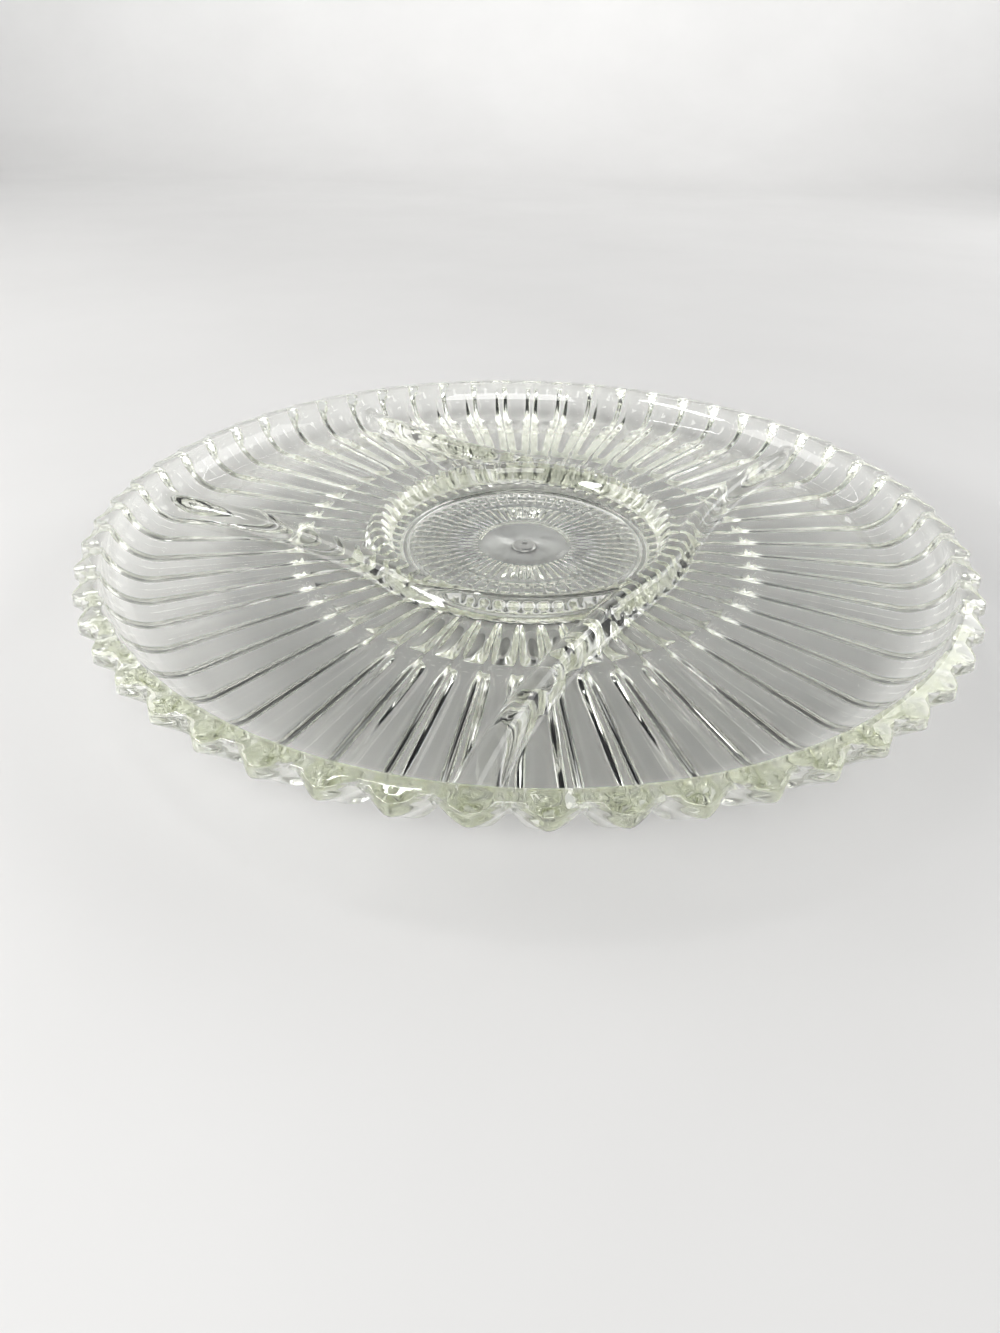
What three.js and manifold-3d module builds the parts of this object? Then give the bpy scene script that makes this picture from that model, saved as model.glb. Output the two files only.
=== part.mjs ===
// Pressed-glass divided relish tray on a low ball-bearing swivel base.
// Units are millimetres, +Z is up, and the origin is on the table under the turning axis.
import * as THREE from 'three';
import { mergeVertices } from 'three/addons/utils/BufferGeometryUtils.js';
import Module from 'manifold-3d';

const wasm = await Module();
wasm.setup();

// ---- driving dimensions ----
const TEETH = 56; // rim teeth, each the outer end of one underside rib
const TIP_R = 178; // tooth tips, plan radius
const TIP_Z = 34; // tooth tips above the table
const VALLEY_R = 172.4; // notch between two teeth
const CREST_R = 168; // smooth inner edge of the rim
const CREST_Z = TIP_Z + 1.5;
const BEND_R = 152; // where the flat floor turns up into the wall
const WALL_ARC = 16; // inside radius of that bend
const RIB_ARC = 23; // underside radius along a rib
const GROOVE_ARC = 19.5; // underside radius along the groove between ribs
const FLOOR_Z = CREST_Z - WALL_ARC;
const CENTRE_FLOOR_Z = FLOOR_Z - 1;
const UNDER_Z = 11.4; // underside of the centre, resting on the grip ring
const STEP_R = 97; // step where the ribs end and the inner petals begin
const RING_R = 64; // crest of the wall round the centre compartment
const RING_TOP_Z = 27;
const LOCATING_R = 51; // low ring on the underside that centres the tray on its plate

const DIVIDER_AXIS = 150; // plan direction (degrees) the dividers mirror about
const DIVIDER_TIPS = [25, 115.5]; // outer ends, either side of that direction
const DIVIDER_SWEEP = 54; // angle swept from the outer end to the ring
const DIVIDER_TIP_R = 167;
const DIVIDER_RING_R = 66.5;

const BALLS = 12;
const BALL_R = 2.5;
const RACE_R = 40;
const BALL_Z = 6;
const SHEET = 1.2; // sheet metal thickness
const BASE_R = 62;
const BASE_Z = 2.5; // underside of the base plate
const TOP_R = 50;
const TOP_Z = 8.3; // underside of the top plate
const RACE_DEPTH = 0.5;
const PIN_R = 2.9;
const PIN_HOLE_R = 3.2;
const FEET = 4;
const FOOT_PITCH_R = 52;
const STUD_R = 1.7;
const STUD_HOLE_R = 2;

// ---- materials ----
const material = (color, roughness, metalness, extra = {}) =>
  new THREE.MeshStandardMaterial({ color, roughness, metalness, ...extra });
const clearGlass = () =>
  material(0xdfe6d8, 0.05, 0, { transparent: true, opacity: 0.35 });

// ---- helpers ----
const rad = THREE.MathUtils.degToRad;
const pt = (x, y) => new THREE.Vector2(x, y);

// Revolves a profile of radius and height about +Z; the first meridian points along -Y.
function revolve(points, segments) {
  const geometry = new THREE.LatheGeometry(points, segments);
  geometry.rotateX(Math.PI / 2);
  return geometry;
}

// Closed solid from a three.js geometry.
function solid(geometry) {
  const g = geometry.clone();
  g.deleteAttribute('normal');
  g.deleteAttribute('uv');
  const merged = mergeVertices(g, 1e-4);
  const mesh = new wasm.Mesh({
    numProp: 3,
    vertProperties: Float32Array.from(merged.attributes.position.array),
    triVerts: Uint32Array.from(merged.index.array),
  });
  mesh.merge();
  return new wasm.Manifold(mesh);
}

// three.js geometry from a closed solid.
function geometryOf(body) {
  const mesh = body.getMesh();
  const geometry = new THREE.BufferGeometry();
  const position = new THREE.BufferAttribute(new Float32Array(mesh.vertProperties), 3);
  geometry.setAttribute('position', position);
  geometry.setIndex(new THREE.BufferAttribute(new Uint32Array(mesh.triVerts), 1));
  geometry.computeVertexNormals();
  return geometry;
}

function part(name, body, mat) {
  const mesh = new THREE.Mesh(geometryOf(body), mat);
  mesh.name = name;
  return mesh;
}

// Point on the bend between floor and wall, at a given radius and angle below level.
function bend(radius, degrees) {
  return pt(BEND_R + radius * Math.cos(rad(degrees)), CREST_Z - radius * Math.sin(rad(degrees)));
}

// ---- glass tray ----

// Underside and outer edge: each row is the profile along a rib, then along a groove.
function trayUnderside() {
  const same = (r, z) => [pt(r, z), pt(r, z)];
  const rib = (r, z, lift) => [pt(r, z), pt(r, z + lift)];
  const arc = (degrees) => [bend(RIB_ARC, degrees), bend(GROOVE_ARC, degrees)];
  return [
    same(0, UNDER_Z),
    same(LOCATING_R, UNDER_Z),
    same(LOCATING_R + 0.6, UNDER_Z - 2.6),
    same(LOCATING_R + 2.8, UNDER_Z - 2.6),
    same(LOCATING_R + 3.4, UNDER_Z + 0.4),
    same(RING_R + 2, UNDER_Z + 2),
    rib(STEP_R - 18, UNDER_Z + 1.2, 2.4),
    rib(STEP_R - 4, UNDER_Z + 1.8, 2.4),
    same(STEP_R, FLOOR_Z - 3.6),
    rib(STEP_R + 4, FLOOR_Z - 6.4, 2.8),
    arc(90),
    arc(68),
    arc(48),
    arc(32),
    [pt(TIP_R, TIP_Z - 4), pt(VALLEY_R - 1.1, TIP_Z - 3.2)],
    [pt(TIP_R - 0.8, TIP_Z), pt(VALLEY_R, TIP_Z + 0.3)],
  ];
}

// Smooth inside: rim crest, wall, floor, centre wall and centre floor.
function trayInside() {
  const wall = [8, 25, 42, 58, 74, 90].map((degrees) => bend(WALL_ARC, degrees));
  return [
    pt(CREST_R + 1.6, CREST_Z),
    pt(CREST_R + 0.4, CREST_Z + 0.1),
    ...wall,
    pt(RING_R + 8, FLOOR_Z),
    pt(RING_R + 4.8, FLOOR_Z + 2.2),
    pt(RING_R + 3.2, RING_TOP_Z - 1.7),
    pt(RING_R + 1.1, RING_TOP_Z),
    pt(RING_R - 1.1, RING_TOP_Z),
    pt(RING_R - 3.2, RING_TOP_Z - 1.7),
    pt(RING_R - 4.8, CENTRE_FLOOR_Z + 2.4),
    pt(RING_R - 8, CENTRE_FLOOR_Z),
    pt(0, CENTRE_FLOOR_Z),
  ];
}

// Revolved body whose even meridians are pulled in to the groove profile.
function trayBody() {
  const under = trayUnderside();
  const profile = [...under.map((row) => row[0]), ...trayInside()];
  const geometry = revolve(profile, 2 * TEETH);
  const position = geometry.attributes.position;
  for (let meridian = 0; meridian <= 2 * TEETH; meridian += 2) {
    const phi = (meridian * Math.PI) / TEETH;
    under.forEach((row, level) => {
      const { x: r, y: z } = row[1];
      const index = meridian * profile.length + level;
      position.setXYZ(index, r * Math.sin(phi), -r * Math.cos(phi), z);
    });
  }
  return solid(geometry);
}

// Centre line of a divider: an arc that bows towards the ring and eases into its wall.
function dividerPath(tipDegrees, side) {
  const touch = rad(tipDegrees + side * DIVIDER_SWEEP);
  const reach = 2 * (DIVIDER_TIP_R * Math.cos(rad(DIVIDER_SWEEP)) - DIVIDER_RING_R);
  const centreR = (DIVIDER_TIP_R ** 2 - DIVIDER_RING_R ** 2) / reach;
  const arcR = centreR - DIVIDER_RING_R;
  const centre = pt(centreR * Math.cos(touch), centreR * Math.sin(touch));
  const tip = pt(DIVIDER_TIP_R * Math.cos(rad(tipDegrees)), DIVIDER_TIP_R * Math.sin(rad(tipDegrees)));
  const start = tip.sub(centre).angle();
  const end = touch + Math.PI;
  const turn = Math.atan2(Math.sin(end - start), Math.cos(end - start));
  const points = [];
  for (let i = 0; i <= 6; i += 1) {
    const a = start + (turn * i) / 6;
    points.push(new THREE.Vector3(centre.x + arcR * Math.cos(a), centre.y + arcR * Math.sin(a), 0));
  }
  for (const [degrees, r] of [[12, RING_R + 1], [24, RING_R]]) {
    const a = touch + side * rad(degrees);
    points.push(new THREE.Vector3(r * Math.cos(a), r * Math.sin(a), 0));
  }
  return new THREE.CatmullRomCurve3(points);
}

// Round-topped ridge section, height along its first axis; the foot is sunk into the floor.
function dividerSection() {
  const half = [[17.2, 6.6], [20.2, 5.4], [23.6, 3.9], [25.9, 2.3], [27, 0.7]];
  const right = half.map(([z, w]) => pt(-z, w));
  const left = half.map(([z, w]) => pt(-z, -w)).reverse();
  return new THREE.Shape([...right, ...left]);
}

function divider(tipDegrees, side) {
  const extrudePath = dividerPath(tipDegrees, side);
  return solid(new THREE.ExtrudeGeometry(dividerSection(), { steps: 14, extrudePath }));
}

// Space the dividers may fill: the inside of the tray, grown a little into the glass.
function dividerLimit() {
  const grown = WALL_ARC + 2;
  const wall = [90, 65, 40, 15].map((degrees) => bend(grown, degrees));
  const profile = [pt(0, FLOOR_Z - 2), ...wall, pt(0, CREST_Z)];
  return solid(revolve(profile, 2 * TEETH));
}

function glassTray() {
  const limit = dividerLimit();
  let body = trayBody();
  for (const side of [1, -1]) {
    for (const offset of DIVIDER_TIPS) {
      const ridge = divider(DIVIDER_AXIS + side * offset, side);
      body = body.add(ridge.intersect(limit));
    }
  }
  return part('glass_tray', body, clearGlass());
}

// ---- swivel base ----

// Sheet disc with a pressed ball race; `up` is 1 when the race bulges upward.
function raceDisc(z, up) {
  const sink = up * RACE_DEPTH;
  const lower = [pt(-3.1, z), pt(-1.3, z + sink), pt(1.3, z + sink), pt(3.1, z)];
  const shifted = lower.map((p) => pt(RACE_R + p.x, p.y));
  const upper = shifted.map((p) => pt(p.x, p.y + SHEET)).reverse();
  return { shifted, upper };
}

function basePlate() {
  const top = BASE_Z + SHEET;
  const { shifted, upper } = raceDisc(BASE_Z, -1);
  const profile = [
    pt(PIN_HOLE_R, BASE_Z),
    ...shifted,
    pt(BASE_R - 1.4, BASE_Z),
    pt(BASE_R, BASE_Z + 1),
    pt(BASE_R, top + 1.8),
    pt(BASE_R - 1.1, top + 1.8),
    pt(BASE_R - 1.1, top + 0.3),
    pt(BASE_R - 1.7, top),
    ...upper,
    pt(PIN_HOLE_R, top),
    pt(PIN_HOLE_R, BASE_Z),
  ];
  let body = solid(revolve(profile, 48));
  const hole = new THREE.CylinderGeometry(STUD_HOLE_R, STUD_HOLE_R, 4, 16).rotateX(Math.PI / 2);
  for (let i = 0; i < FEET; i += 1) {
    const a = rad(45 + (360 / FEET) * i);
    const spot = hole.clone().translate(FOOT_PITCH_R * Math.cos(a), FOOT_PITCH_R * Math.sin(a), top);
    body = body.subtract(solid(spot));
  }
  return part('base_plate', body, material(0xb9bcbe, 0.32, 0.95));
}

function topPlate() {
  const { shifted, upper } = raceDisc(TOP_Z, 1);
  const profile = [
    pt(PIN_HOLE_R, TOP_Z),
    ...shifted,
    pt(TOP_R - 0.3, TOP_Z),
    pt(TOP_R, TOP_Z + 0.3),
    pt(TOP_R, TOP_Z + SHEET - 0.3),
    pt(TOP_R - 0.3, TOP_Z + SHEET),
    ...upper,
    pt(PIN_HOLE_R, TOP_Z + SHEET),
    pt(PIN_HOLE_R, TOP_Z),
  ];
  return part('top_plate', solid(revolve(profile, 48)), material(0xc3c6c8, 0.3, 0.95));
}

function gripRing() {
  const low = TOP_Z + SHEET + 0.15;
  const high = UNDER_Z - 0.2;
  const profile = [
    pt(44, low),
    pt(49, low),
    pt(49, high - 0.3),
    pt(48.6, high),
    pt(44.4, high),
    pt(44, high - 0.3),
    pt(44, low),
  ];
  return part('grip_ring', solid(revolve(profile, 48)), material(0xd9dad6, 0.7, 0));
}

function ballCage() {
  const profile = [
    pt(RACE_R - 4.4, BALL_Z - 0.7),
    pt(RACE_R + 4.4, BALL_Z - 0.7),
    pt(RACE_R + 4.4, BALL_Z + 0.7),
    pt(RACE_R - 4.4, BALL_Z + 0.7),
    pt(RACE_R - 4.4, BALL_Z - 0.7),
  ];
  let body = solid(revolve(profile, 36));
  const pocket = new THREE.CylinderGeometry(BALL_R + 0.3, BALL_R + 0.3, 4, 12).rotateX(Math.PI / 2);
  for (let i = 0; i < BALLS; i += 1) {
    const a = rad((360 / BALLS) * i);
    const spot = pocket.clone().translate(RACE_R * Math.cos(a), RACE_R * Math.sin(a), BALL_Z);
    body = body.subtract(solid(spot));
  }
  return part('ball_cage', body, material(0xe6e4dc, 0.5, 0));
}

function ball(index) {
  const a = rad((360 / BALLS) * index);
  const sphere = new THREE.SphereGeometry(BALL_R, 10, 8);
  sphere.rotateX(Math.PI / 2);
  sphere.translate(RACE_R * Math.cos(a), RACE_R * Math.sin(a), BALL_Z);
  const name = `ball_${String(index + 1).padStart(2, '0')}`;
  return part(name, solid(sphere), material(0xc8cacc, 0.12, 1));
}

// Rivet that holds the two plates together and carries the turning axis.
function pivotRivet() {
  const low = BASE_Z - 0.3;
  const high = TOP_Z + SHEET + 0.2;
  const profile = [
    pt(0, low - 1),
    pt(4.6, low - 1),
    pt(5.4, low - 0.5),
    pt(5.4, low),
    pt(PIN_R, low),
    pt(PIN_R, high),
    pt(5.4, high),
    pt(5.4, high + 0.5),
    pt(4.4, high + 1.1),
    pt(0, high + 1.1),
  ];
  return part('pivot_rivet', solid(revolve(profile, 28)), material(0xb4b2ac, 0.35, 0.95));
}

// Bush on the rivet that keeps the plates apart at the centre.
function spacerBush() {
  const low = BASE_Z + SHEET + 0.25;
  const high = TOP_Z - 0.25;
  const profile = [
    pt(PIN_R + 0.3, low),
    pt(7, low),
    pt(7, high),
    pt(PIN_R + 0.3, high),
    pt(PIN_R + 0.3, low),
  ];
  return part('spacer_bush', solid(revolve(profile, 28)), material(0xefede4, 0.55, 0));
}

// Push-in rubber foot: a pad under the plate and a barbed stud through it.
function foot(index) {
  const a = rad(45 + (360 / FEET) * index);
  const pad = BASE_Z - 0.2;
  const top = BASE_Z + SHEET + 0.25;
  const profile = [
    pt(0, 0),
    pt(5.4, 0),
    pt(6, 0.6),
    pt(6, pad - 0.5),
    pt(5.5, pad),
    pt(STUD_R, pad),
    pt(STUD_R, top),
    pt(2.6, top + 0.1),
    pt(1.2, top + 1.4),
    pt(0, top + 1.4),
  ];
  const geometry = revolve(profile, 18);
  geometry.translate(FOOT_PITCH_R * Math.cos(a), FOOT_PITCH_R * Math.sin(a), 0);
  return part(`rubber_foot_${index + 1}`, solid(geometry), material(0x2a2a2c, 0.85, 0));
}

// ---- assembly ----
const assembly = new THREE.Group();
assembly.name = 'lazy_susan';
assembly.add(glassTray(), gripRing(), topPlate(), ballCage());
for (let i = 0; i < BALLS; i += 1) {
  assembly.add(ball(i));
}
assembly.add(basePlate(), spacerBush(), pivotRivet());
for (let i = 0; i < FEET; i += 1) {
  assembly.add(foot(i));
}

export default assembly;
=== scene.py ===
import math

import bmesh
import bpy
import numpy as np
from mathutils import Matrix, Vector


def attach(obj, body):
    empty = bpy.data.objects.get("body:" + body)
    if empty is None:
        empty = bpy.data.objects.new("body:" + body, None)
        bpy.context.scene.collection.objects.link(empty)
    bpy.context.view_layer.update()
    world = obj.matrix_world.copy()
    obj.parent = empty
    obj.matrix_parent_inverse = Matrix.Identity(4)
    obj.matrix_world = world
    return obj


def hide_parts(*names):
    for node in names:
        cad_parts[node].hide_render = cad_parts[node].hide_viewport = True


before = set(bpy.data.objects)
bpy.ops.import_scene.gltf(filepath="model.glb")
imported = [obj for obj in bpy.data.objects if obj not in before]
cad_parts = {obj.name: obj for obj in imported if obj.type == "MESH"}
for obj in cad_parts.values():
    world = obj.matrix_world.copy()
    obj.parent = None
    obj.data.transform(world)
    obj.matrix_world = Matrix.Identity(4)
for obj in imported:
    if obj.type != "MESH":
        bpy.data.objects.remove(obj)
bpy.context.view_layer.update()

# ---- sizes, in millimetres unless said otherwise ----
MM = 0.001  # metres in a millimetre

# glass tray: rim and wall
TEETH = 56
TIP_R, TIP_Z = 178.0, 34.0  # outer tip of a tooth, on the rim's upper edge
VALLEY_R = 172.4  # notch between two teeth
TIP_ROUND = 0.22  # rounding of a tooth's tip, as a share of half a tooth
CREST_R, CREST_Z = 168.0, 35.5  # highest line of the rim
BEND_R = 152.0  # the wall curves up about this radius at the height of the crest, in three arcs:
WALL_ARC = 16.0  # the smooth inside
RIB_ARC = 23.0  # the outside along a rib
GROOVE_ARC = 18.8  # the outside along a groove
WALL_TOP_DEGREES = 32.0  # where the outside arcs end, 90 degrees being straight down

# glass tray: floors, ribs and rings
FLOOR_Z = 19.5
CENTRE_FLOOR_Z = 18.5
UNDER_Z = 11.4  # underside of the centre
LOCATING_R = 51.0  # ring under the glass that sits round the top plate
RING_R = 64.0  # wall of the centre compartment
STEP_R = 97.0  # where the petals end and the ribs start
GROOVE_SHARE = 0.54  # part of half a tooth's width that a groove's side takes
RIB_CROWN = 0.15  # how much of the groove's depth the rib's rounding takes

# glass tray: walls and dividers inside
RIDGE_TOP = 27.0
RIDGE_HALF = 6.2  # half the width of a ridge at the floor
RIDGE_FILLET = 3.2
DIVIDER_AXIS = 150.0  # plan direction in degrees that the dividers mirror about
DIVIDER_TIPS = (25.0, 115.5)  # their outer ends, in degrees to either side of it
DIVIDER_SWEEP = 54.0  # degrees from the outer end to the ring
DIVIDER_TIP_R = 167.0
DIVIDER_RING_R = 66.5
DIVIDER_TAIL = 26.0  # degrees over which a divider melts into the ring

# pressed pattern under the centre: inner and outer radius of each band
DISC_R = 21.0
RAYS = (21.5, 35.0)
CELLS = (36.0, 49.6)
CELL_WIDTH = 4.5
PRISMS = (55.6, 65.8)

# swivel base
SHEET = 1.2  # thickness of both plates
BASE_R, BASE_Z = 62.0, 2.5
TOP_R, TOP_Z = 50.0, 8.3
RACE_R = 40.0
RACE_HALF = 3.1  # half the width of a ball race
RACE_DEPTH = 0.5
BALLS = 12
BALL_R, BALL_Z = 2.5, 6.0
CAGE_HALF_WIDTH = 4.4
CAGE_HALF_HEIGHT = 0.7
POCKET_R = BALL_R + 0.3
PIN_R = 2.9
PIN_HOLE_R = 3.2
HEAD_R = 5.4  # both heads of the rivet
BUSH_R = 7.0
FEET = 4
FOOT_PITCH_R = 52.0
STUD_R = 1.7
STUD_HOLE_R = 2.0


# ---- node helpers ----
def new_material(name):
    mat = bpy.data.materials.new(name)
    mat.use_nodes = True
    nodes = mat.node_tree.nodes
    return mat, nodes, mat.node_tree.links, nodes["Principled BSDF"]


def noise(nodes, links, scale, detail, rough):
    coords = nodes.new("ShaderNodeTexCoord")
    tex = nodes.new("ShaderNodeTexNoise")
    tex.inputs["Scale"].default_value = scale
    tex.inputs["Detail"].default_value = detail
    tex.inputs["Roughness"].default_value = rough
    links.new(coords.outputs["Object"], tex.inputs["Vector"])
    return tex.outputs["Fac"]


def ramp(nodes, links, fac, low, high, start=0.3, end=0.7):
    """A number that goes from low to high as fac goes from start to end."""
    node = nodes.new("ShaderNodeMapRange")
    node.inputs["From Min"].default_value = start
    node.inputs["From Max"].default_value = end
    node.inputs["To Min"].default_value = low
    node.inputs["To Max"].default_value = high
    links.new(fac, node.inputs["Value"])
    return node.outputs["Result"]


def colour_mix(nodes, links, fac, a, b, start=0.3, end=0.7):
    """A colour that goes from a to b as fac goes from start to end."""
    node = nodes.new("ShaderNodeValToRGB")
    node.color_ramp.elements[0].position = start
    node.color_ramp.elements[0].color = (*a, 1)
    node.color_ramp.elements[1].position = end
    node.color_ramp.elements[1].color = (*b, 1)
    links.new(fac, node.inputs["Fac"])
    return node.outputs["Color"]


def bump(nodes, links, fac, strength, distance, bsdf, into=None):
    """Bump on the surface, on top of the bump that into gives, where there is one."""
    node = nodes.new("ShaderNodeBump")
    node.inputs["Strength"].default_value = strength
    node.inputs["Distance"].default_value = distance
    links.new(fac, node.inputs["Height"])
    if into:
        links.new(into, node.inputs["Normal"])
    links.new(node.outputs["Normal"], bsdf.inputs["Normal"])
    return node.outputs["Normal"]


# ---- materials ----
def glass_material():
    """Clear pressed glass: faint smears and ripples, and a tint that deepens with thickness."""
    mat, nodes, links, bsdf = new_material("pressed_glass")
    bsdf.inputs["Base Color"].default_value = (0.985, 0.99, 0.975, 1)
    bsdf.inputs["Transmission Weight"].default_value = 1.0
    bsdf.inputs["IOR"].default_value = 1.51
    smear = noise(nodes, links, 24, 3, 0.6)
    links.new(ramp(nodes, links, smear, 0.0, 0.035, 0.35, 0.75), bsdf.inputs["Roughness"])
    ripple = noise(nodes, links, 55, 2, 0.4)
    fine = noise(nodes, links, 420, 2, 0.5)
    first = bump(nodes, links, ripple, 0.06, 0.0006, bsdf)
    bump(nodes, links, fine, 0.04, 0.0001, bsdf, first)
    absorb = nodes.new("ShaderNodeVolumeAbsorption")
    absorb.inputs["Color"].default_value = (0.81, 0.835, 0.68, 1)
    absorb.inputs["Density"].default_value = 8.5
    links.new(absorb.outputs["Volume"], nodes["Material Output"].inputs["Volume"])
    return mat


def metal_material(name, colour, rough, spun=True):
    """Stained, slightly worn metal, with fine rings round the axis if it is spun."""
    mat, nodes, links, bsdf = new_material(name)
    bsdf.inputs["Metallic"].default_value = 1.0
    stain = noise(nodes, links, 60, 4, 0.6)
    dark = tuple(c * 0.93 for c in colour)
    links.new(colour_mix(nodes, links, stain, colour, dark, 0.35, 0.8), bsdf.inputs["Base Color"])
    wear = noise(nodes, links, 180, 5, 0.7)
    links.new(ramp(nodes, links, wear, rough * 0.75, rough * 1.35), bsdf.inputs["Roughness"])
    if spun:
        coords = nodes.new("ShaderNodeTexCoord")
        rings = nodes.new("ShaderNodeTexWave")
        rings.wave_type = "RINGS"
        rings.rings_direction = "Z"
        rings.inputs["Scale"].default_value = 700
        rings.inputs["Distortion"].default_value = 1.5
        links.new(coords.outputs["Object"], rings.inputs["Vector"])
        bump(nodes, links, rings.outputs["Fac"], 0.12, 0.00005, bsdf)
    else:
        bump(nodes, links, wear, 0.1, 0.00005, bsdf)
    return mat


def plastic_material(name, colour, rough, grain=500, depth=0.00008, strength=0.25):
    """Grained plastic or rubber with slightly uneven colour."""
    mat, nodes, links, bsdf = new_material(name)
    cloud = noise(nodes, links, 80, 4, 0.6)
    dark = tuple(c * 0.82 for c in colour)
    links.new(colour_mix(nodes, links, cloud, colour, dark, 0.35, 0.8), bsdf.inputs["Base Color"])
    pits = noise(nodes, links, grain, 4, 0.6)
    matt = ramp(nodes, links, pits, rough * 0.85, min(1, rough * 1.15))
    links.new(matt, bsdf.inputs["Roughness"])
    bump(nodes, links, pits, strength, depth, bsdf)
    return mat


# ---- mesh helpers ----
def add_object(name, mesh, mat):
    mesh.materials.append(mat)
    obj = bpy.data.objects.new(name, mesh)
    bpy.context.scene.collection.objects.link(obj)
    return obj


def grid_object(name, points, mat, first_cap, last_cap):
    """Closed mesh from rows x columns of points; columns wrap round, ends close to cap points."""
    rows, columns, _ = points.shape
    vertices = np.vstack([points.reshape(-1, 3), first_cap, last_cap])
    across = np.arange(columns)
    following = (across + 1) % columns
    row = np.arange(rows - 1)[:, None] * columns
    corners = [row + across, row + following, row + columns + following, row + columns + across]
    quads = np.stack(corners, -1).reshape(-1, 4)
    first = np.full(columns, rows * columns)
    last_row = (rows - 1) * columns
    first_fan = np.stack([following, across, first], -1)
    last_fan = np.stack([last_row + across, last_row + following, first + 1], -1)
    loop = np.concatenate([quads.ravel(), first_fan.ravel(), last_fan.ravel()]).astype(np.int32)
    starts = np.concatenate([
        np.arange(len(quads)) * 4,
        len(quads) * 4 + np.arange(2 * columns) * 3,
    ]).astype(np.int32)
    mesh = bpy.data.meshes.new(name)
    mesh.vertices.add(len(vertices))
    mesh.vertices.foreach_set("co", vertices.astype(np.float32).ravel())
    mesh.loops.add(len(loop))
    mesh.loops.foreach_set("vertex_index", loop)
    mesh.polygons.add(len(starts))
    mesh.polygons.foreach_set("loop_start", starts)
    mesh.polygons.foreach_set("use_smooth", np.ones(len(starts), bool))
    mesh.update(calc_edges=True)
    mesh.validate()
    return add_object(name, mesh, mat)


def smooth_step(t):
    return t * t * (3 - 2 * t)


def smooth_max(a, b, k):
    """The larger of two heights, with a fillet of about size k where they meet."""
    h = np.clip(0.5 + 0.5 * (a - b) / k, 0, 1)
    return b * (1 - h) + a * h + k * h * (1 - h)


# ---- glass tray ----
def divider_lines():
    """Centre lines of the four dividers as polylines, in millimetres."""
    lines = []
    for side in (1, -1):
        for offset in DIVIDER_TIPS:
            tip = math.radians(DIVIDER_AXIS + side * offset)
            touch = tip + side * math.radians(DIVIDER_SWEEP)
            reach = 2 * (DIVIDER_TIP_R * math.cos(math.radians(DIVIDER_SWEEP)) - DIVIDER_RING_R)
            q = (DIVIDER_TIP_R ** 2 - DIVIDER_RING_R ** 2) / reach
            arc_r = q - DIVIDER_RING_R
            cx, cy = q * math.cos(touch), q * math.sin(touch)
            start = math.atan2(
                DIVIDER_TIP_R * math.sin(tip) - cy,
                DIVIDER_TIP_R * math.cos(tip) - cx,
            )
            end = touch + math.pi
            turn = (end - start + math.pi) % (2 * math.pi) - math.pi
            # the arc starts a little beyond the outer end, inside the wall
            a = start + turn * np.linspace(-0.16, 1, 60)
            arc = np.stack([cx + arc_r * np.cos(a), cy + arc_r * np.sin(a)], 1)
            t = np.linspace(0, 1, 12)[1:]
            b = touch + side * math.radians(DIVIDER_TAIL) * t
            r = DIVIDER_RING_R + (RING_R - DIVIDER_RING_R) * smooth_step(t)
            tail = np.stack([r * np.cos(b), r * np.sin(b)], 1)
            lines.append(np.vstack([arc, tail]))
    return lines


def distance_to_line(x, y, line):
    """Plan distance of each point from a polyline."""
    best = np.full(x.shape, 1e9)
    for p, q in zip(line[:-1], line[1:]):
        d = q - p
        t = np.clip(((x - p[0]) * d[0] + (y - p[1]) * d[1]) / (d @ d), 0, 1)
        best = np.minimum(best, np.hypot(x - p[0] - t * d[0], y - p[1] - t * d[1]))
    return best


def ridge_height(d):
    """Height of a round-topped ridge at a distance from its centre line, ending under the floor."""
    far = 2 * RIDGE_HALF
    return RIDGE_TOP - (RIDGE_TOP - FLOOR_Z) * np.power(np.minimum(d, far) / RIDGE_HALF, 2.6)


def groove_shape(phase):
    """How far a point is from the rib's lowest line (0) to the top of the groove (1)."""
    edge = 1 - GROOVE_SHARE
    crown = RIB_CROWN * np.clip(phase / edge, 0, 1) ** 2
    t = np.clip((phase - edge) / GROOVE_SHARE, 0, 1)
    return crown + (1 - RIB_CROWN) * smooth_step(t)


def tooth_shape(phase):
    """How far a point is from a tooth's rounded tip (0) to the sharp notch (1)."""
    full = math.hypot(1, TIP_ROUND) - TIP_ROUND
    return (np.sqrt(phase ** 2 + TIP_ROUND ** 2) - TIP_ROUND) / full


def bend(arc, degrees):
    """Point of an arc round the wall's bend, 90 degrees being straight down."""
    a = math.radians(degrees)
    return BEND_R + arc * math.cos(a), CREST_Z - arc * math.sin(a)


def between(a, b, t):
    return a[0] + (b[0] - a[0]) * t, a[1] + (b[1] - a[1]) * t


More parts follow.
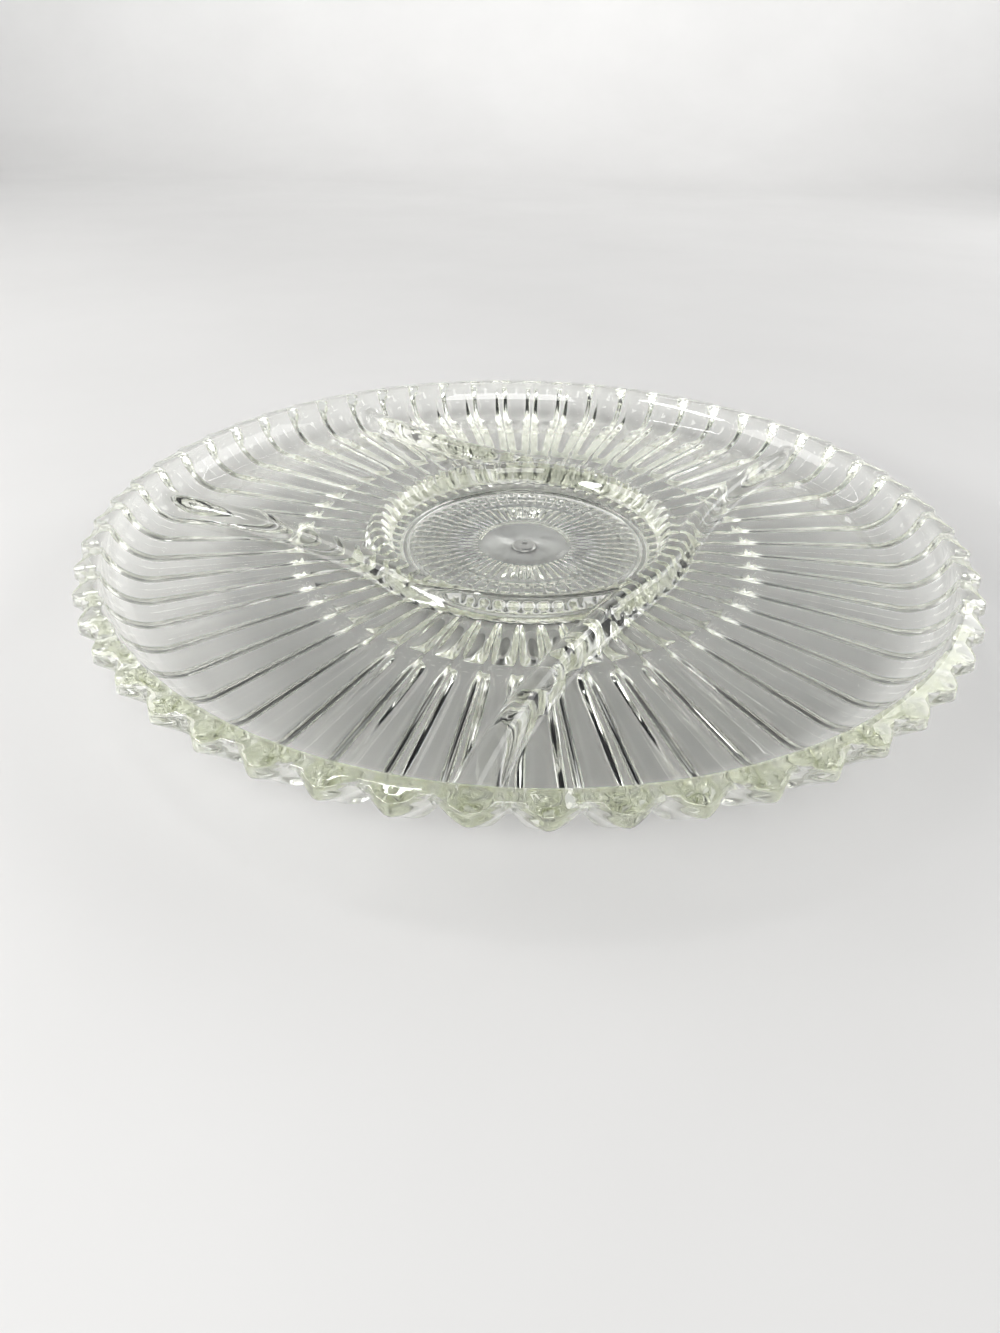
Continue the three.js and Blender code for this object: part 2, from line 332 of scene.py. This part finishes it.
def underside_rows():
    """Rows from the centre out to the rim.

    Each holds the radius and height along a rib, the same along a groove, and the share of tooth.
    """
    rows = []

    def row(r, z, groove_r=None, groove_z=None, tooth=0.0):
        groove_r = r if groove_r is None else groove_r
        groove_z = z if groove_z is None else groove_z
        rows.append((r, z, groove_r, groove_z, tooth))

    # centre, locating ring and the slope out to the centre wall
    for r in np.linspace(3, LOCATING_R - 0.4, 40):
        row(r, UNDER_Z)
    for t in np.linspace(0, 1, 5):
        row(LOCATING_R + 0.1 + 0.5 * t, UNDER_Z - 2.3 * t)
    for t in np.linspace(-1, 1, 5):
        row(LOCATING_R + 1.7 + 0.8 * t, UNDER_Z - 2.6 + 0.25 * t * t)
    for t in np.linspace(0, 1, 5):
        row(LOCATING_R + 2.8 + 0.5 * t, UNDER_Z - 2.3 + 2.6 * t)
    for r in np.linspace(LOCATING_R + 4.2, RING_R + 2.5, 8):
        row(r, UNDER_Z + 0.5 + 1.5 * (r - LOCATING_R - 4) / (RING_R - LOCATING_R - 2))
    # petals
    petal_start, petal_end = RING_R + 3.4, STEP_R - 1.4
    for t in np.linspace(0, 1, 18):
        bulge = math.sin(math.pi * t) ** 0.55 if 0 < t < 1 else 0.0
        r = petal_start + (petal_end - petal_start) * t
        high = UNDER_Z + 2.2 + 1.9 * t
        row(r, high - 1.6 * bulge, None, high + 0.9 * bulge)
    # ribs: rounded starts at the step, then straight under the floor and up the wall
    step_z = FLOOR_Z - 3.9
    groove_rise = 1.1
    row(STEP_R - 0.6, step_z - 1.0, STEP_R + 1.4, step_z)
    row(STEP_R + 0.4, step_z - 1.2, STEP_R + 2.6, step_z)
    for t in np.linspace(0, 1, 8):
        rise = math.sin(math.pi / 2 * t) ** 0.6 if t > 0 else 0.0
        rib = STEP_R + 1.2 + 7 * t, step_z - 1.2 - 1.8 * rise
        row(*rib, STEP_R + 3.2 + 5 * t, step_z + groove_rise * rise)
    for t in np.linspace(0, 1, 8):
        r = STEP_R + 10 + (BEND_R - STEP_R - 12) * t
        row(r, step_z - 3.0 - 0.1 * t, None, step_z + groove_rise)
    for degrees in np.linspace(90, WALL_TOP_DEGREES, 16):
        row(*bend(RIB_ARC, degrees), *bend(GROOVE_ARC, degrees))
    # teeth
    low, low_groove = bend(RIB_ARC, WALL_TOP_DEGREES), bend(GROOVE_ARC, WALL_TOP_DEGREES)
    edge, edge_groove = (TIP_R, TIP_Z - 4.0), (VALLEY_R - 1.1, TIP_Z - 3.2)
    for t in np.linspace(0, 1, 8)[1:]:
        row(*between(low, edge, t), *between(low_groove, edge_groove, t), t)
    top, top_groove = (TIP_R - 0.8, TIP_Z - 0.2), (VALLEY_R, TIP_Z + 0.1)
    for t in np.linspace(0, 1, 4)[1:]:
        row(*between(edge, top, t), *between(edge_groove, top_groove, t), 1)
    row(TIP_R - 1.3, TIP_Z + 0.15, VALLEY_R - 0.5, TIP_Z + 0.4, 1)
    return rows


def inside_rows():
    """Radius and height of the smooth inside, from the rim inwards."""
    rows = [
        (CREST_R + 6.5, TIP_Z + 0.55),
        (CREST_R + 4, TIP_Z + 0.95),
        (CREST_R + 2.4, TIP_Z + 1.3),
    ]
    for degrees in (80, 55, 30, 5):
        a = math.radians(degrees)
        rows.append((CREST_R + 1.2 - 1.3 * math.cos(a), CREST_Z - 1.2 + 1.2 * math.sin(a)))
    rows += [bend(WALL_ARC, degrees) for degrees in np.linspace(6, 90, 22)]
    rows += [(r, FLOOR_Z) for r in np.linspace(BEND_R - 1.3, 74, 52)]
    rows += [(r, FLOOR_Z if r > RING_R else CENTRE_FLOOR_Z) for r in np.linspace(73.4, 54, 28)]
    rows += [(r, CENTRE_FLOOR_Z) for r in np.linspace(52, 3, 6)]
    return rows


def within(r, limits, ease):
    """1 between two radii, easing to 0 at both."""
    inner, outer = limits
    return np.clip((r - inner) / ease, 0, 1) * np.clip((outer - r) / ease, 0, 1)


def relief(r, phase):
    """How far the fine pressed pattern is cut up into the glass under the centre."""
    rays = np.abs(phase)
    cell = np.abs(((r - CELLS[0]) / CELL_WIDTH) % 1 * 2 - 1)
    cut = smooth_step(np.clip((DISC_R - r) / 3.0, 0, 1))
    cut = cut + 0.9 * within(r, RAYS, 1.2) * rays
    cut = cut + within(r, CELLS, 0.6) * np.maximum(rays, cell)
    return cut + 1.3 * within(r, PRISMS, 0.8) * rays


def tray_points():
    """Rows of points round the tray's whole section, underside first, and its two cap points."""
    # places across half a tooth, from rib (0) to groove (1), closer where the groove is steep
    half = np.array([0, 0.15, 0.3, 0.45, 0.55, 0.63, 0.7, 0.77, 0.84, 0.92, 1])
    across = np.concatenate([-half[:0:-1], half[:-1]])
    phase = np.tile(np.abs(across), TEETH)
    tooth = np.repeat(np.arange(TEETH), len(across))
    angle = -math.pi / 2 + 2 * math.pi * (tooth + 0.5 + np.tile(across, TEETH) / 2) / TEETH
    r1, z1, r2, z2, share = (np.array(c)[:, None] for c in zip(*underside_rows()))
    blend = groove_shape(phase) * (1 - share) + tooth_shape(phase) * share
    r = r1 + (r2 - r1) * blend
    z = z1 + (z2 - z1) * blend
    z = z + relief(r, phase)
    ri, zi = (np.repeat(np.array(c)[:, None], len(angle), 1) for c in zip(*inside_rows()))
    x, y = ri * np.cos(angle), ri * np.sin(angle)
    ridge = ridge_height(np.abs(ri - RING_R))
    for line in divider_lines():
        ridge = np.maximum(ridge, ridge_height(distance_to_line(x, y, line)))
    zi = np.where(zi > CREST_Z - 3, zi, smooth_max(zi, ridge, RIDGE_FILLET))
    r = np.vstack([r, ri])
    z = np.vstack([z, zi])
    points = np.stack([r * np.cos(angle), r * np.sin(angle), z], -1)
    return points * MM, (0, 0, (UNDER_Z + 1) * MM), (0, 0, CENTRE_FLOOR_Z * MM)


def build_tray():
    points, low, high = tray_points()
    tray = grid_object("glass_tray_body", points, glass_material(), low, high)
    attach(tray, "tray")
    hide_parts("glass_tray")


# ---- swivel base ----
def softened(profile, radius=0.25):
    """The closed profile with each corner off the axis rounded."""
    out = []
    count = len(profile)
    for i, corner in enumerate(profile):
        point = Vector(corner)
        if point.x < 1e-6:
            out.append(tuple(point))
            continue
        before = Vector(profile[i - 1]) - point
        after = Vector(profile[(i + 1) % count]) - point
        reach = min(radius, 0.45 * before.length, 0.45 * after.length)
        start, end = point + before.normalized() * reach, point + after.normalized() * reach
        for t in (0, 0.33, 0.67, 1):
            out.append(tuple((1 - t) ** 2 * start + 2 * t * (1 - t) * point + t * t * end))
    return out


def turned(name, profile, mat, steps=128, centre=(0, 0)):
    """Body of revolution about an upright axis, from a closed outline of radius and height."""
    bm = bmesh.new()
    rings = []
    for r, z in profile:
        if r < 1e-6:
            rings.append([bm.verts.new((centre[0] * MM, centre[1] * MM, z * MM))] * steps)
            continue
        ring = []
        for k in range(steps):
            a = 2 * math.pi * k / steps
            x, y = centre[0] + r * math.cos(a), centre[1] + r * math.sin(a)
            ring.append(bm.verts.new((x * MM, y * MM, z * MM)))
        rings.append(ring)
    for ring, following in zip(rings, rings[1:] + rings[:1]):
        for k in range(steps):
            m = (k + 1) % steps
            corners = list(dict.fromkeys((ring[k], ring[m], following[m], following[k])))
            if len(corners) > 2:
                bm.faces.new(corners)
    bmesh.ops.recalc_face_normals(bm, faces=bm.faces)
    for face in bm.faces:
        face.smooth = True
    mesh = bpy.data.meshes.new(name)
    bm.to_mesh(mesh)
    bm.free()
    return add_object(name, mesh, mat)


def drilled(obj, places, radius, z):
    """Cut round holes through the object at the given places, near height z."""
    outline = [(0, z - 3), (radius, z - 3), (radius, z + 3), (0, z + 3)]
    mat = obj.data.materials[0]
    for place in places:
        cutter = turned("cutter", outline, mat, 48, place)
        cut = obj.modifiers.new("hole", "BOOLEAN")
        cut.operation = "DIFFERENCE"
        cut.object = cutter
        graph = bpy.context.evaluated_depsgraph_get()
        mesh = bpy.data.meshes.new_from_object(obj.evaluated_get(graph))
        obj.modifiers.clear()
        bpy.data.objects.remove(cutter)
        obj.data = mesh
    mesh.name = obj.name
    mesh.set_sharp_from_angle(angle=math.radians(35))


def fit_in(piece, body, node):
    """Let the piece ride on its body and stand for its CAD node."""
    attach(piece, body)
    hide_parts(node)


def race_disc(z, up, inner, outer):
    """Outline of a sheet disc with a pressed ball race; outer is the edge beyond the race."""
    race = []
    for x in np.linspace(-RACE_HALF, RACE_HALF, 13):
        race.append((RACE_R + x, z + up * RACE_DEPTH * (1 - (x / RACE_HALF) ** 2) ** 2))
    upper = [(r, h + SHEET) for r, h in reversed(race)]
    return [(inner, z), *race, *outer, *upper, (inner, z + SHEET)]


def around(count, radius, first_degrees):
    """Evenly spaced places on a circle."""
    turns = (math.radians(first_degrees + 360 / count * i) for i in range(count))
    return [(radius * math.cos(a), radius * math.sin(a)) for a in turns]


def build_plates(metal):
    top = BASE_Z + SHEET
    lip = [
        (BASE_R - 1.4, BASE_Z), (BASE_R - 0.4, BASE_Z + 0.3), (BASE_R, BASE_Z + 1.1),
        (BASE_R, top + 1.8), (BASE_R - 1.1, top + 1.8), (BASE_R - 1.1, top + 0.5),
        (BASE_R - 1.8, top),
    ]
    dish = turned("base_plate_dish", race_disc(BASE_Z, -1, PIN_HOLE_R, lip), metal, 160)
    drilled(dish, around(FEET, FOOT_PITCH_R, 45), STUD_HOLE_R, top)
    fit_in(dish, "base", "base_plate")
    high = TOP_Z + SHEET
    edge = [(TOP_R - 0.5, TOP_Z), (TOP_R, TOP_Z + 0.4), (TOP_R, high - 0.4), (TOP_R - 0.5, high)]
    disc = turned("top_plate_disc", race_disc(TOP_Z, 1, PIN_HOLE_R, edge), metal, 160)
    fit_in(disc, "tray", "top_plate")


def build_bearing(steel, plastic):
    low, high = BALL_Z - CAGE_HALF_HEIGHT, BALL_Z + CAGE_HALF_HEIGHT
    inner, outer = RACE_R - CAGE_HALF_WIDTH, RACE_R + CAGE_HALF_WIDTH
    ring = [(inner, low), (outer, low), (outer, high), (inner, high)]
    cage = turned("cage_ring", softened(ring, 0.3), plastic)
    places = around(BALLS, RACE_R, 0)
    drilled(cage, places, POCKET_R, BALL_Z)
    fit_in(cage, "cage", "ball_cage")
    for i, place in enumerate(places):
        half = [math.pi * k / 20 for k in range(21)]
        outline = [(BALL_R * math.sin(a), BALL_Z - BALL_R * math.cos(a)) for a in half]
        outline[0], outline[-1] = (0, BALL_Z - BALL_R), (0, BALL_Z + BALL_R)
        ball = turned(f"steel_ball_{i + 1:02d}", outline, steel, 40, place)
        fit_in(ball, "cage", f"ball_{i + 1:02d}")


def build_pivot(rivet_steel, plastic):
    low, high = BASE_Z - 0.3, TOP_Z + SHEET + 0.2
    outline = [
        (0, low - 1), (4.6, low - 1), (HEAD_R, low - 0.5), (HEAD_R, low), (PIN_R, low),
        (PIN_R, high), (HEAD_R, high), (HEAD_R, high + 0.5), (4.4, high + 1.1),
        (1.6, high + 1.1), (1.1, high + 0.7), (0, high + 0.7),
    ]
    rivet = turned("rivet_body", softened(outline), rivet_steel, 64)
    fit_in(rivet, "base", "pivot_rivet")
    low, high = BASE_Z + SHEET + 0.25, TOP_Z - 0.25
    bore = PIN_R + 0.3
    outline = [(bore, low), (BUSH_R, low), (BUSH_R, high), (bore, high)]
    bush = turned("bush_sleeve", softened(outline, 0.4), plastic, 64)
    fit_in(bush, "base", "spacer_bush")


def build_rubber(pale, dark):
    low, high = TOP_Z + SHEET + 0.15, UNDER_Z - 0.2
    outline = [
        (44, low), (49, low), (49, high - 0.1), (47.6, high),
        (46.5, high - 0.4), (45.4, high), (44, high - 0.1),
    ]
    ring = turned("grip_band", softened(outline), pale)
    fit_in(ring, "tray", "grip_ring")
    pad, top = BASE_Z - 0.2, BASE_Z + SHEET + 0.25
    outline = [
        (0, 0.4), (3.2, 0.4), (3.8, 0), (5.4, 0), (6, 0.6), (6, pad - 0.5), (5.5, pad),
        (STUD_R, pad), (STUD_R, top), (2.6, top + 0.1), (1.2, top + 1.4), (0, top + 1.4),
    ]
    for i, place in enumerate(around(FEET, FOOT_PITCH_R, 45)):
        foot = turned(f"foot_pad_{i + 1}", softened(outline), dark, 48, place)
        fit_in(foot, "base", f"rubber_foot_{i + 1}")


def build_swivel():
    plate = metal_material("satin_plate", (0.90, 0.90, 0.895), 0.5)
    steel = metal_material("ball_steel", (0.82, 0.83, 0.84), 0.1, spun=False)
    rivet_steel = metal_material("rivet_steel", (0.72, 0.71, 0.69), 0.3)
    plastic = plastic_material("cage_plastic", (0.86, 0.85, 0.81), 0.5)
    pale = plastic_material("pale_rubber", (0.80, 0.80, 0.78), 0.7)
    dark = plastic_material("black_rubber", (0.045, 0.045, 0.05), 0.8, 700, 0.0001, 0.35)
    build_plates(plate)
    build_bearing(steel, plastic)
    build_pivot(rivet_steel, plastic)
    build_rubber(pale, dark)


# ---- studio ----
def build_stage():
    """Pale floor that curves up into a backdrop; sizes in metres."""
    mat, nodes, links, bsdf = new_material("pale_floor")
    cloud = noise(nodes, links, 3, 4, 0.6)
    colour = colour_mix(nodes, links, cloud, (0.74, 0.735, 0.725), (0.70, 0.695, 0.685))
    links.new(colour, bsdf.inputs["Base Color"])
    bsdf.inputs["Roughness"].default_value = 0.6
    front_y, bend_y, bend_r, half_width = -6.0, 1.9, 0.9, 6.0
    profile = [(front_y, 0.0), (bend_y, 0.0)]
    for degrees in range(6, 91, 6):
        a = math.radians(degrees)
        profile.append((bend_y + bend_r * math.sin(a), bend_r - bend_r * math.cos(a)))
    vertices = []
    for y, z in profile:
        vertices += [(-half_width, y, z), (half_width, y, z)]
    faces = [(2 * i, 2 * i + 1, 2 * i + 3, 2 * i + 2) for i in range(len(profile) - 1)]
    mesh = bpy.data.meshes.new("floor_sweep")
    mesh.from_pydata(vertices, [], faces)
    mesh.polygons.foreach_set("use_smooth", [True] * len(faces))
    mesh.update()
    add_object("floor_sweep", mesh, mat)


def area_light(name, place, target, size, power, colour=(1, 1, 1), along=(1, 0, 0)):
    """Rectangular lamp, in metres and watts; its first side lies along the given direction."""
    data = bpy.data.lights.new(name, "AREA")
    data.shape = "RECTANGLE"
    data.size, data.size_y = size
    data.energy = power
    data.color = colour
    back = (Vector(place) - Vector(target)).normalized()
    side = (Vector(along) - back * back.dot(Vector(along))).normalized()
    up = back.cross(side)
    light = bpy.data.objects.new(name, data)
    turn = Matrix((side, up, back)).transposed().to_4x4()
    light.matrix_world = Matrix.Translation(place) @ turn
    bpy.context.scene.collection.objects.link(light)


def build_lights():
    """A pale room with soft lamps and a dark ceiling, which the grooves show as dark streaks."""
    world = bpy.data.worlds.new("studio")
    bpy.context.scene.world = world
    world.use_nodes = True
    nodes, links = world.node_tree.nodes, world.node_tree.links
    background = nodes["Background"]
    coords = nodes.new("ShaderNodeTexCoord")
    split = nodes.new("ShaderNodeSeparateXYZ")
    links.new(coords.outputs["Generated"], split.inputs["Vector"])
    shade = nodes.new("ShaderNodeValToRGB")
    # by the sine of the elevation: pale up to about 31 degrees, dark above about 40
    shade.color_ramp.elements[0].position = 0.52
    shade.color_ramp.elements[0].color = (0.75, 0.755, 0.76, 1)
    shade.color_ramp.elements[1].position = 0.64
    shade.color_ramp.elements[1].color = (0.015, 0.015, 0.018, 1)
    links.new(split.outputs["Z"], shade.inputs["Fac"])
    links.new(shade.outputs["Color"], background.inputs["Color"])
    background.inputs["Strength"].default_value = 1.0
    centre = (0, 0, 0)
    area_light("front_box", (0.4, -2.6, 2.6), centre, (2.4, 1.6), 72)
    area_light("wall_wash", (0, 1.5, 1.5), (0, 2.7, 0.2), (4.0, 0.3), 26)
    area_light("left_box", (-1.4, 0.2, 0.8), centre, (0.9, 0.7), 8, (1, 0.99, 0.97), (0, 1, 0))
    area_light("right_box", (1.4, 0.6, 0.9), centre, (1.2, 0.9), 9, along=(0, 1, 0))
    slant = (-0.31, 0.52, 0.16)
    # the long highlights on the far wall and on the rim
    area_light("wall_strip", (-0.86, -0.59, 0.42), (0.09, 0.14, 0.03), (0.6, 0.14), 6, along=slant)
    area_light("rim_strip", (-0.36, 0.3, 1.2), (-0.03, -0.17, 0.03), (0.25, 0.04), 0.8)


FOCAL = 756 / 1333  # fitted focal length over the height of the frame


def build_camera():
    """The photograph's view: a wide lens, close above the front rim, looking down."""
    turn = math.radians(0.4)
    elevation, yaw, pitch, roll = (math.radians(v) for v in (24.87, -1.52, -12.21, 1.86))
    distance = 1.868 * TIP_R * MM
    place = Vector((0, -math.cos(elevation), math.sin(elevation))) * distance
    forward = -place.normalized()
    right = Vector((1, 0, 0))
    up = right.cross(forward)
    forward, right = (
        forward * math.cos(yaw) + right * math.sin(yaw),
        right * math.cos(yaw) - forward * math.sin(yaw),
    )
    forward, up = (
        forward * math.cos(pitch) + up * math.sin(pitch),
        up * math.cos(pitch) - forward * math.sin(pitch),
    )
    right, up = (
        right * math.cos(roll) + up * math.sin(roll),
        up * math.cos(roll) - right * math.sin(roll),
    )
    pose = Matrix((
        (right.x, up.x, -forward.x, place.x),
        (right.y, up.y, -forward.y, place.y),
        (right.z, up.z, -forward.z, place.z),
        (0, 0, 0, 1),
    ))
    data = bpy.data.cameras.new("camera")
    data.sensor_width = 36
    data.lens = FOCAL * data.sensor_width
    camera = bpy.data.objects.new("camera", data)
    above = Matrix.Translation((0, 0, TIP_Z * MM))
    camera.matrix_world = above @ Matrix.Rotation(turn, 4, "Z") @ pose
    bpy.context.scene.collection.objects.link(camera)
    bpy.context.scene.camera = camera


build_camera()
build_tray()
build_swivel()
build_stage()
build_lights()
bpy.context.scene.view_settings.view_transform = "Standard"
# light trapped in the thick rim needs many bounces to come out again
bpy.context.scene.cycles.max_bounces = 40
bpy.context.scene.cycles.transmission_bounces = 40
bpy.context.scene.cycles.glossy_bounces = 40
